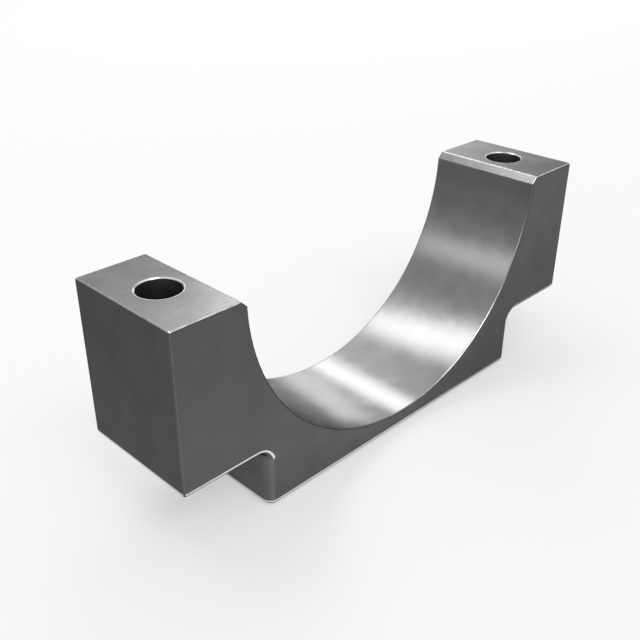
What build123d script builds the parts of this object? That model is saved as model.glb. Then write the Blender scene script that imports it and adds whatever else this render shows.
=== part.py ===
from build123d import *
import os

# Lower half of a split tube clamp: one block of steel, milled all over and bored for the tube.
# Millimetres. X runs from one bolt to the other, Y along the tube, Z up.
# The origin is on the tube's centre line, at mid-width, in the plane where the two halves part.

# Driving dimensions
tube_diameter = 101.6        # the tube that the half-round seat takes
web_thickness = 4.6          # steel left under the seat where it is deepest
block_width = 32.6           # along the tube
ear_length = 19.0            # from the tube's side to the end of the block
ear_height = 39.4            # from the parting plane to the underside of the ears
shoulder_length = 22.9       # from the end of the block in to the foot
bolt_hole_diameter = 9.8     # loose clearance for an M8 bolt
bolt_hole_break = 0.25       # small chamfer round both mouths of a bolt hole
seat_chamfer = 1.7           # lead-in along the two top edges of the seat
foot_corner_radius = 2.6     # upright corners of the foot
root_radius = 2.9            # hollow between the foot and the undersides of the ears
lower_edge_radius = 1.6      # outside edges that face downwards
upper_edge_radius = 0.6      # every other outside edge
side_allowance = 0.1         # metal taken off each side of the foot when the sides are cut flush

# Sizes that follow from them
tube_radius = tube_diameter / 2
half_length = tube_radius + ear_length
half_width = block_width / 2
total_height = tube_radius + web_thickness
foot_half_length = half_length - shoulder_length
bolt_distance = tube_radius + ear_length / 2     # each bolt stands in the middle of its ear
measuring_gap = 0.001                            # how near an edge lies to a plane that it is said to be in


def milled_block():
    """The ears over the foot, with the hollow between them carried round the foot's corners.

    The block starts wider than the part, so that the hollow runs all round the foot. The two side
    faces are then cut flush, and where they cross the hollow at a corner of the foot they leave the
    small curl that such a step has when it is milled with a rounded cutter.
    """
    rough_foot_width = block_width + 2 * side_allowance
    rough_block_width = block_width + 4 * root_radius
    ears = Pos(0, 0, -ear_height / 2) * Box(2 * half_length, rough_block_width, ear_height)
    foot_plan = RectangleRounded(2 * foot_half_length, rough_foot_width, foot_corner_radius)
    foot = Pos(0, 0, -total_height) * extrude(foot_plan, total_height - ear_height / 2)
    block = ears + foot

    def is_root(edge):
        box = edge.bounding_box()
        in_step = box.max.Z - box.min.Z < measuring_gap and abs(box.max.Z + ear_height) < measuring_gap
        return in_step and max(box.max.Y, -box.min.Y) < rough_foot_width / 2 + measuring_gap

    block = fillet(block.edges().filter_by(is_root), root_radius)
    return block & Box(4 * half_length, block_width, 4 * total_height)


def bored_for_tube(block):
    """The half-round seat, with a chamfer along its two edges in the parting plane."""
    seat = Rot(90, 0, 0) * Cylinder(tube_radius, block_width)
    block = block - seat

    def is_seat_edge(edge):
        middle = edge.center()
        return abs(middle.Z) < measuring_gap and abs(abs(middle.X) - tube_radius) < measuring_gap

    return chamfer(block.edges().filter_by(is_seat_edge), seat_chamfer)


def in_plane(edge, axis, position):
    """True where the whole edge lies in the plane at that position on either side of the middle."""
    box = edge.bounding_box()
    low, high = (box.min.X, box.max.X) if axis == Axis.X else (box.min.Y, box.max.Y)
    flat = high - low < measuring_gap
    return flat and abs(abs(low) - position) < measuring_gap


def edges_rounded(block):
    """Lower outside edges first, in one run with the curls, and then the finer upper ones."""

    def is_lower(edge):
        box = edge.bounding_box()
        if box.max.Z > -ear_height + measuring_gap:
            return False
        foot_corner_line = edge.geom_type == GeomType.LINE and box.max.Z - box.min.Z > measuring_gap
        on_side = in_plane(edge, Axis.Y, half_width)
        if foot_corner_line:
            return on_side
        return on_side or in_plane(edge, Axis.X, half_length) or box.max.Z < -total_height + measuring_gap

    def is_upper(edge):
        box = edge.bounding_box()
        on_outside = in_plane(edge, Axis.X, half_length) or in_plane(edge, Axis.Y, half_width)
        above_lower_edges = box.max.Z > -ear_height + lower_edge_radius + measuring_gap
        in_parting_plane = box.min.Z > -measuring_gap
        return in_parting_plane or (on_outside and above_lower_edges)

    block = fillet(block.edges().filter_by(is_lower), lower_edge_radius)
    return fillet(block.edges().filter_by(is_upper), upper_edge_radius)


def drilled(block):
    """A clearance hole down through the middle of each ear, with its two mouths broken."""
    hole_radius = bolt_hole_diameter / 2
    for side in (-1, 1):
        block = block - Pos(side * bolt_distance, 0, 0) * Cylinder(hole_radius, 4 * ear_height)

    def is_mouth(edge):
        return edge.geom_type == GeomType.CIRCLE and abs(edge.radius - hole_radius) < measuring_gap

    return chamfer(block.edges().filter_by(is_mouth), bolt_hole_break)


clamp_saddle = drilled(edges_rounded(bored_for_tube(milled_block())))

os.makedirs("parts", exist_ok=True)
export_step(clamp_saddle, "parts/clamp_saddle.step")
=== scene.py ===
import math

import bmesh
import bpy
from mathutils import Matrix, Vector


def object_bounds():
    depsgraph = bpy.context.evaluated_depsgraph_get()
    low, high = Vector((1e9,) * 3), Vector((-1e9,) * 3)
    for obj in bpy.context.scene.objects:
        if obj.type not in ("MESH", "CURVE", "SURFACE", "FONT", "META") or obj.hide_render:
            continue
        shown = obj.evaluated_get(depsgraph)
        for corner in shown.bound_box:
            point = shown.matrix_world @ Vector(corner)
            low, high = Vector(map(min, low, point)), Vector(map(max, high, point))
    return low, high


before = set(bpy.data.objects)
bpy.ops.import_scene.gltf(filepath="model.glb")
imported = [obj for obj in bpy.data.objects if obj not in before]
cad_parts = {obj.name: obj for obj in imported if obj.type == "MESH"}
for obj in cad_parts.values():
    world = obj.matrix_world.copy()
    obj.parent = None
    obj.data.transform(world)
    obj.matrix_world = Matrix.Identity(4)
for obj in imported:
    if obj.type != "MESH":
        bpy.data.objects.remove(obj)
cad_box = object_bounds()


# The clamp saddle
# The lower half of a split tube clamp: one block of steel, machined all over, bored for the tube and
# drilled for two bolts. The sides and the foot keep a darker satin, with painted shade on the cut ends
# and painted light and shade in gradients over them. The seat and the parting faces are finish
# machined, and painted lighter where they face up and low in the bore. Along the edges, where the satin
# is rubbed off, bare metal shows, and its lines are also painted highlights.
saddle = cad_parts["clamp_saddle"]
seat_radius = 0.0508
half_length = 0.0698
half_width = 0.0163
foot_bottom = cad_box[0][2]
lower_edge_radius = 0.0016
upper_edge_radius = 0.0006
bolt_distance = 0.0603
bolt_hole_radius = 0.0049

satin_grey = (0.120, 0.120, 0.122, 1.0)
# the cut ends are given a darker grey than the sides, as painted shade
shaded_end_grey = (0.098, 0.098, 0.100, 1.0)
# the machined grey is lighter than the satin, partly for the finer finish and partly as painted light on
# faces that look up and low in the bore
machined_lit_grey = (0.25, 0.25, 0.252, 1.0)
chamfer_grey = (0.20, 0.20, 0.202, 1.0)
drilled_grey = (0.20, 0.20, 0.20, 1.0)
# bare metal on the edges, where the satin is worn off and where painted highlight lines are laid
bare_metal_highlight = (0.92, 0.92, 0.93, 1.0)
glancing_tint = (0.45, 0.45, 0.45, 1.0)

steel = bpy.data.materials.new("satin_machined_steel")
steel.use_nodes = True
tree = steel.node_tree
surface = tree.nodes["Principled BSDF"]
surface.inputs["Metallic"].default_value = 1.0
surface.inputs["Specular Tint"].default_value = glancing_tint


def node(kind, **settings):
    """A new node in the tree that is being built."""
    made = tree.nodes.new(kind)
    for name, value in settings.items():
        setattr(made, name, value)
    return made


def join(source, target):
    tree.links.new(source, target)


def maths(operation, *values):
    """One sum on numbers or on the outputs of other nodes."""
    made = node("ShaderNodeMath", operation=operation)
    for socket, value in zip(made.inputs, values):
        if isinstance(value, (int, float)):
            socket.default_value = value
        else:
            join(value, socket)
    return made.outputs[0]


def chained(operation, first, *others):
    """The same sum carried on over several values, two at a time."""
    total = first
    for value in others:
        total = maths(operation, total, value)
    return total


def product(*factors):
    return chained("MULTIPLY", *factors)


def largest(*values):
    return chained("MAXIMUM", *values)


def rest_of(share):
    return maths("SUBTRACT", 1.0, share)


def distance(first, second):
    """How long two offsets at right angles are together."""
    return maths("SQRT", maths("ADD", maths("POWER", first, 2.0), maths("POWER", second, 2.0)))


def held_between(value, low, high):
    return maths("MINIMUM", maths("MAXIMUM", value, low), high)


def ramp(value, low, high, start, end):
    """A number carried smoothly from low to high as the value goes from start to end."""
    made = node("ShaderNodeMapRange", interpolation_type="SMOOTHSTEP")
    join(value, made.inputs["Value"])
    made.inputs["From Min"].default_value = start
    made.inputs["From Max"].default_value = end
    made.inputs["To Min"].default_value = low
    made.inputs["To Max"].default_value = high
    return made.outputs["Result"]


def rising(value, start, end):
    return ramp(value, 0.0, 1.0, start, end)


def falling(value, start, end):
    return ramp(value, 1.0, 0.0, start, end)


def band(value, comes, goes):
    """One between two stretches of the value, over which it comes and goes."""
    return product(rising(value, *comes), falling(value, *goes))


def noise(per_metre, stretch=(1.0, 1.0, 1.0), detail=2.0):
    """Even noise, drawn out or packed together along the three directions."""
    lay = node("ShaderNodeMapping")
    lay.inputs["Scale"].default_value = stretch
    join(place.outputs["Object"], lay.inputs["Vector"])
    made = node("ShaderNodeTexNoise")
    made.inputs["Scale"].default_value = per_metre
    made.inputs["Detail"].default_value = detail
    join(lay.outputs["Vector"], made.inputs["Vector"])
    return made.outputs["Fac"]


def spread(noise_value, low, high):
    """Noise, which seldom leaves the middle of its range, spread over another one."""
    return ramp(noise_value, low, high, 0.3, 0.7)


def mixed(share, first, second, data_type="RGBA"):
    """Two colours, or the outputs of other nodes, blended by a share of the second."""
    made = node("ShaderNodeMix", data_type=data_type)
    join(share, made.inputs["Factor"])
    for socket, value in ((made.inputs["A"], first), (made.inputs["B"], second)):
        if isinstance(value, tuple):
            socket.default_value = value
        else:
            join(value, socket)
    return made.outputs["Result"]


def toned(colour, factor):
    """A colour made darker or lighter by a factor."""
    made = node("ShaderNodeMix", data_type="RGBA", blend_type="MULTIPLY")
    made.inputs["Factor"].default_value = 1.0
    join(colour, made.inputs["A"])
    join(factor, made.inputs["B"])
    return made.outputs["Result"]


def bumped(height, strength, depth, normal):
    """A surface raised and sunk by a height, on top of a normal that it already has."""
    made = node("ShaderNodeBump")
    made.inputs["Strength"].default_value = strength
    made.inputs["Distance"].default_value = depth
    join(height, made.inputs["Height"])
    join(normal, made.inputs["Normal"])
    return made.outputs["Normal"]


# where a point of the surface lies, and which way the surface faces there
place = node("ShaderNodeTexCoord")
where = node("ShaderNodeSeparateXYZ")
join(place.outputs["Object"], where.inputs["Vector"])
x, y, z = where.outputs
facing = node("ShaderNodeSeparateXYZ")
join(place.outputs["Normal"], facing.inputs["Vector"])
facing_x, facing_y, facing_z = facing.outputs
along = maths("ABSOLUTE", x)
across = maths("ABSOLUTE", y)
facing_along = maths("ABSOLUTE", facing_x)
facing_across = maths("ABSOLUTE", facing_y)
facing_level = distance(facing_along, facing_across)
facing_outwards = product(facing_x, maths("SIGN", x))
facing_inwards = product(facing_outwards, -1.0)
from_tube_line = distance(x, z)
from_bolt = distance(maths("SUBTRACT", along, bolt_distance), y)

# the seat with its rims, the bore between them, the holes, the parting faces with their lead-in
# chamfers, and the two cut ends
rim_top = seat_radius + upper_edge_radius
rim_start = half_width - upper_edge_radius
past_rims = 0.0002
level_under_chamfers = -0.0020
level_of_top_edges = -0.0030
bore_fades = (rim_start + 0.00025, rim_start + 0.0004)
mouth_fades = (bolt_hole_radius + 0.0003, bolt_hole_radius + 0.0004)
end_comes = (half_length - 0.0008, half_length - 0.0001)
turned_up = (0.45, 0.65)
turned_inwards = (0.45, 0.68)
hole_wall_below = 0.3
near_seat = product(maths("LESS_THAN", from_tube_line, rim_top + past_rims),
                    maths("LESS_THAN", z, level_under_chamfers))
outside_seat = rest_of(near_seat)
in_bore = product(near_seat, falling(across, *bore_fades))
at_hole = falling(from_bolt, *mouth_fades)
in_hole = product(at_hole, maths("LESS_THAN", facing_z, hole_wall_below))
faces_up = rising(facing_z, *turned_up)
on_ear_tops = maths("GREATER_THAN", z, level_of_top_edges)
lead_in = product(on_ear_tops, rising(facing_inwards, *turned_inwards))
# the cut ends take the darker grey, which is painted shade
cut_end = product(rising(along, *end_comes), rest_of(faces_up))

# the bore is lighter low down, partly where the tube has rubbed it and partly as painted light, and
# keeps the darker satin up the steep tops of its walls
rubbed_up_to = -0.018
unrubbed_from = -0.004
rubbed_and_lit_bore = product(in_bore, falling(z, rubbed_up_to, unrubbed_from))
machined_and_painted_light = largest(rubbed_and_lit_bore, product(faces_up, outside_seat))


def upper_part_of_rounding(part_of_normal):
    """Where a lower edge has only begun to turn away from the side that it leaves."""
    return band(part_of_normal, (0.920, 0.955), (0.995, 0.9995))


# the upper part of the lower edges' rounding carries bare metal, partly where the satin is worn off and
# partly as a painted highlight line, strongest on the left, where a share above one keeps the line whole
# although the wear is patchy
wear_and_highlight_on_left = 1.9
wear_and_highlight_on_right = 0.50
left_part_ends = -0.030
right_part_starts = 0.050
edge_zone = 0.0013
turned_down = (-0.10, -0.02)
on_side_edge = product(upper_part_of_rounding(facing_across),
                       rising(across, half_width - lower_edge_radius, half_width - edge_zone))
on_end_edge = product(upper_part_of_rounding(facing_along),
                      rising(along, half_length - lower_edge_radius, half_length - edge_zone))
on_foot_edge = product(upper_part_of_rounding(facing_level),
                       falling(z, foot_bottom + edge_zone, foot_bottom + lower_edge_radius))
lower_wear_and_highlight = product(largest(on_side_edge, on_end_edge, on_foot_edge), falling(facing_z, *turned_down),
                     ramp(x, wear_and_highlight_on_left, wear_and_highlight_on_right, left_part_ends, right_part_starts))

# thinner lines of bare metal, partly worn and partly painted highlights, run along the top edges and the
# chamfers, round the mouths of the holes, down the upright edges and, on the right, down the seat's
# rims; where a line is found by how the surface is turned, it comes and goes over stretches of one part
# of the surface's normal
wear_and_highlight_on_chamfers = 0.50
wear_and_highlight_on_uprights = 0.06
patches_per_metre = 420.0
rim_edges_come = (rim_start + 0.00005, rim_start + 0.0002)
rim_edges_go = (half_width - 0.0003, half_width - 0.00015)
rim_highlight_comes = (-0.005, 0.022)
rim_highlight_goes = (0.036, 0.047)
top_wear_and_highlight = product(band(facing_z, (0.45, 0.75), (0.93, 0.985)), on_ear_tops,
                   rising(largest(facing_outwards, facing_across), 0.15, 0.25),
                   ramp(facing_across, 0.28, 0.95, 0.10, 0.25))
chamfer_wear_and_highlight = product(band(facing_z, (0.76, 0.84), (0.95, 0.985)), on_ear_tops,
                       rising(facing_inwards, 0.10, 0.20), wear_and_highlight_on_chamfers)
mouth_wear_and_highlight = product(at_hole, rising(facing_z, 0.45, 0.60))
upright_wear_and_highlight = product(band(facing_across, (0.50, 0.88), (0.93, 0.985)),
                       falling(maths("ABSOLUTE", facing_z), 0.05, 0.20), wear_and_highlight_on_uprights)
on_rim = product(near_seat, band(across, rim_edges_come, rim_edges_go))
rim_wear_and_highlight = product(on_rim, ramp(x, 0.10, 1.0, *rim_highlight_comes), ramp(x, 1.0, 0.05, *rim_highlight_goes))
outer_wear_and_highlight = product(largest(lower_wear_and_highlight, top_wear_and_highlight, chamfer_wear_and_highlight, mouth_wear_and_highlight, upright_wear_and_highlight), outside_seat)
patchy = ramp(noise(patches_per_metre), 0.60, 1.0, 0.35, 0.60)
wear_and_highlight = product(largest(outer_wear_and_highlight, rim_wear_and_highlight), patchy)

# soft clouds a few millimetres across, as handling and oil leave them, and the finer grain of the
# tools: rings round the bore in the seat, straight lines along the block on the sides
clouds_per_metre = 130.0
marks_per_metre = 300.0
ring_stretch = (0.05, 10.0, 0.05)
line_stretch = (0.05, 6.0, 10.0)
cloud_tones = (0.945, 1.055)
mark_tones = (0.99, 1.01)
cloud = noise(clouds_per_metre, detail=3.0)
rings = noise(marks_per_metre, ring_stretch)
lines = noise(marks_per_metre, line_stretch)
tool_marks = mixed(largest(in_bore, faces_up), lines, rings, data_type="FLOAT")
clouding = product(spread(cloud, *cloud_tones), spread(tool_marks, *mark_tones))

# painted light and shade: the satin is lighter low down on the left and high up on the right, and darker
# high up on the left and low down on the right
low_painted_shading = (1.12, 0.90)
high_painted_shading = (0.86, 1.13)
tone_changes = (0.0, 0.060)
low_down = falling(z, foot_bottom, 0.0)
outside_x = product(x, outside_seat)
painted_shading_below = product(low_down, ramp(outside_x, *low_painted_shading, *tone_changes))
painted_shading_above = product(rest_of(low_down), ramp(outside_x, *high_painted_shading, *tone_changes))

# the satin carries the painted shade of the cut ends and the painted light and shade of these gradients
satin = toned(mixed(cut_end, satin_grey, shaded_end_grey), maths("ADD", painted_shading_below, painted_shading_above))
machined = mixed(lead_in, machined_lit_grey, chamfer_grey)
# the machined colour is laid on the faces that look up and low in the bore as painted light; elsewhere
# the satin stays
finished = mixed(in_hole, mixed(machined_and_painted_light, satin, machined), drilled_grey)
# bare metal goes over the finish along the edges, partly as wear and partly as painted highlights
join(mixed(wear_and_highlight, toned(finished, clouding), bare_metal_highlight), surface.inputs["Base Color"])

# the clouds and the tool marks also vary the sheen, the tube has left the bore a little smoother,
# and the drilled walls are rough
satin_roughness = (0.25, 0.28)
mark_roughness = (-0.006, 0.006)
bore_change = -0.03
drilled_roughness = 0.42
clouded_roughness = maths("ADD", spread(cloud, *satin_roughness), product(rubbed_and_lit_bore, bore_change))
marked_roughness = maths("ADD", clouded_roughness, spread(tool_marks, *mark_roughness))
hole_roughness = product(in_hole, drilled_roughness)
join(largest(marked_roughness, hole_roughness), surface.inputs["Roughness"])

# the seat and the rounding of its rims take their normals from their own radii, so they run smooth
part_past_bore = maths("DIVIDE", maths("SUBTRACT", from_tube_line, rim_top), upper_edge_radius)
part_past_rim_start = maths("DIVIDE", maths("SUBTRACT", across, rim_start), upper_edge_radius)
turn_to_tube = held_between(part_past_bore, -1.0, 0.0)
turn_to_side = held_between(part_past_rim_start, 0.0, 1.0)
round_way = node("ShaderNodeCombineXYZ")
join(maths("DIVIDE", product(turn_to_tube, x), from_tube_line), round_way.inputs["X"])
join(product(turn_to_side, maths("SIGN", y)), round_way.inputs["Y"])
join(maths("DIVIDE", product(turn_to_tube, z), from_tube_line), round_way.inputs["Z"])
even_way = node("ShaderNodeVectorMath", operation="NORMALIZE")
join(round_way.outputs["Vector"], even_way.inputs[0])
smooth_way = mixed(near_seat, place.outputs["Normal"], even_way.outputs["Vector"], data_type="VECTOR")

# the clouds and the tool marks are also felt, as very shallow waves and grooves
cloud_strength = 1.0
cloud_depth = 0.00005
mark_strength = 0.02
mark_depth = 0.00003
uneven = bumped(cloud, cloud_strength, cloud_depth, smooth_way)
join(bumped(tool_marks, mark_strength, mark_depth, uneven), surface.inputs["Normal"])

saddle.data.materials.clear()
saddle.data.materials.append(steel)


# The table and the studio round it
# A plain sheet of white paper under the foot, a pale room that is lighter overhead, and seven soft
# lamps: two behind, one overhead, two low on the left, a weak one that fills in behind and one in front.
floor_half_side = 3.0
floor_mesh = bpy.data.meshes.new("floor")
shape = bmesh.new()
bmesh.ops.create_grid(shape, x_segments=1, y_segments=1, size=floor_half_side)
shape.to_mesh(floor_mesh)
shape.free()
floor = bpy.data.objects.new("floor", floor_mesh)
floor.location.z = foot_bottom
bpy.context.scene.collection.objects.link(floor)

# the paper is pale, and what the camera, gloss and glass see of it is about half plain white light
paper_grey = (0.80, 0.80, 0.80, 1.0)
paper_roughness = 0.9
white_share = 0.48
paper = bpy.data.materials.new("white_paper")
paper.use_nodes = True
tree = paper.node_tree
sheet = tree.nodes["Principled BSDF"]
sheet.inputs["Base Color"].default_value = paper_grey
sheet.inputs["Roughness"].default_value = paper_roughness
sheet.inputs["Specular IOR Level"].default_value = 0.0
ray = node("ShaderNodeLightPath")
looked_at = largest(ray.outputs["Is Camera Ray"], ray.outputs["Is Glossy Ray"],
                    ray.outputs["Is Transmission Ray"])
white = node("ShaderNodeEmission")
white.inputs["Strength"].default_value = 1.0
blend = node("ShaderNodeMixShader")
join(product(looked_at, white_share), blend.inputs["Fac"])
join(sheet.outputs["BSDF"], blend.inputs[1])
join(white.outputs["Emission"], blend.inputs[2])
join(blend.outputs["Shader"], tree.nodes["Material Output"].inputs["Surface"])
floor_mesh.materials.append(paper)

strength_at_horizon = 0.41
strength_overhead = 0.84
room_white = (1.0, 1.0, 1.0, 1.0)
room = bpy.data.worlds.new("pale_room")
bpy.context.scene.world = room
room.use_nodes = True
tree = room.node_tree
air = tree.nodes["Background"]
look_to = node("ShaderNodeTexCoord")
looked_way = node("ShaderNodeSeparateXYZ")
join(look_to.outputs["Generated"], looked_way.inputs["Vector"])
lighter_up = node("ShaderNodeMapRange")
join(looked_way.outputs["Z"], lighter_up.inputs["Value"])
lighter_up.inputs["To Min"].default_value = strength_at_horizon
lighter_up.inputs["To Max"].default_value = strength_overhead
join(lighter_up.outputs["Result"], air.inputs["Strength"])
air.inputs["Color"].default_value = room_white

# each lamp's place as the angle round from +Y towards +X and the angle up, then its size, how far it
# is turned about its own axis, and its brightness
lamp_distance = 1.2
for name, azimuth, elevation, width, height, turn, brightness in (
        ("back_high", 47.2, 33.0, 0.495, 0.253, -28.0, 5.07),
        ("back_low", 55.5, 8.5, 0.601, 0.296, 39.3, 3.07),
        ("overhead", -13.9, 59.2, 0.668, 0.225, 19.8, 4.64),
        ("low_left", -60.7, 26.0, 0.527, 0.215, -9.3, 1.71),
        ("fill", 23.1, 39.9, 0.443, 0.616, 12.6, 0.90),
        ("front", -168.0, 52.0, 0.700, 0.320, 0.0, 5.0),
        ("left", -105.0, 15.0, 0.500, 0.250, 0.0, 3.0)):
    lamp_data = bpy.data.lights.new(name, "AREA")
    lamp_data.shape = "RECTANGLE"
    lamp_data.size = width
    lamp_data.size_y = height
    lamp_data.energy = brightness * math.pi * width * height
    lamp = bpy.data.objects.new(name, lamp_data)
    round_by = math.radians(azimuth)
    raised_by = math.radians(elevation)
    direction = Vector((math.sin(round_by) * math.cos(raised_by),
                        math.cos(round_by) * math.cos(raised_by),
                        math.sin(raised_by)))
    lamp.location = direction * lamp_distance
    lamp.rotation_euler = direction.to_track_quat("Z", "Y").to_euler()
    lamp.rotation_euler.rotate_axis("Z", math.radians(turn))
    lamp.visible_camera = False
    bpy.context.scene.collection.objects.link(lamp)

# the camera stands in front of the clamp on the left, above it, and looks down on it
camera_place = (-0.14520, -0.13004, 0.07538)
looks_down = 28.519
turned_right = 45.132
leans = 0.154
camera_data = bpy.data.cameras.new("camera")
camera_data.lens = 47.65
camera_data.sensor_width = 36.0
camera = bpy.data.objects.new("camera", camera_data)
camera.location = camera_place
camera.rotation_euler = (math.radians(90.0 - looks_down), 0.0, math.radians(-turned_right))
camera.rotation_euler.rotate_axis("Z", math.radians(leans))
bpy.context.scene.collection.objects.link(camera)
bpy.context.scene.camera = camera

bpy.context.scene.view_settings.view_transform = "Standard"
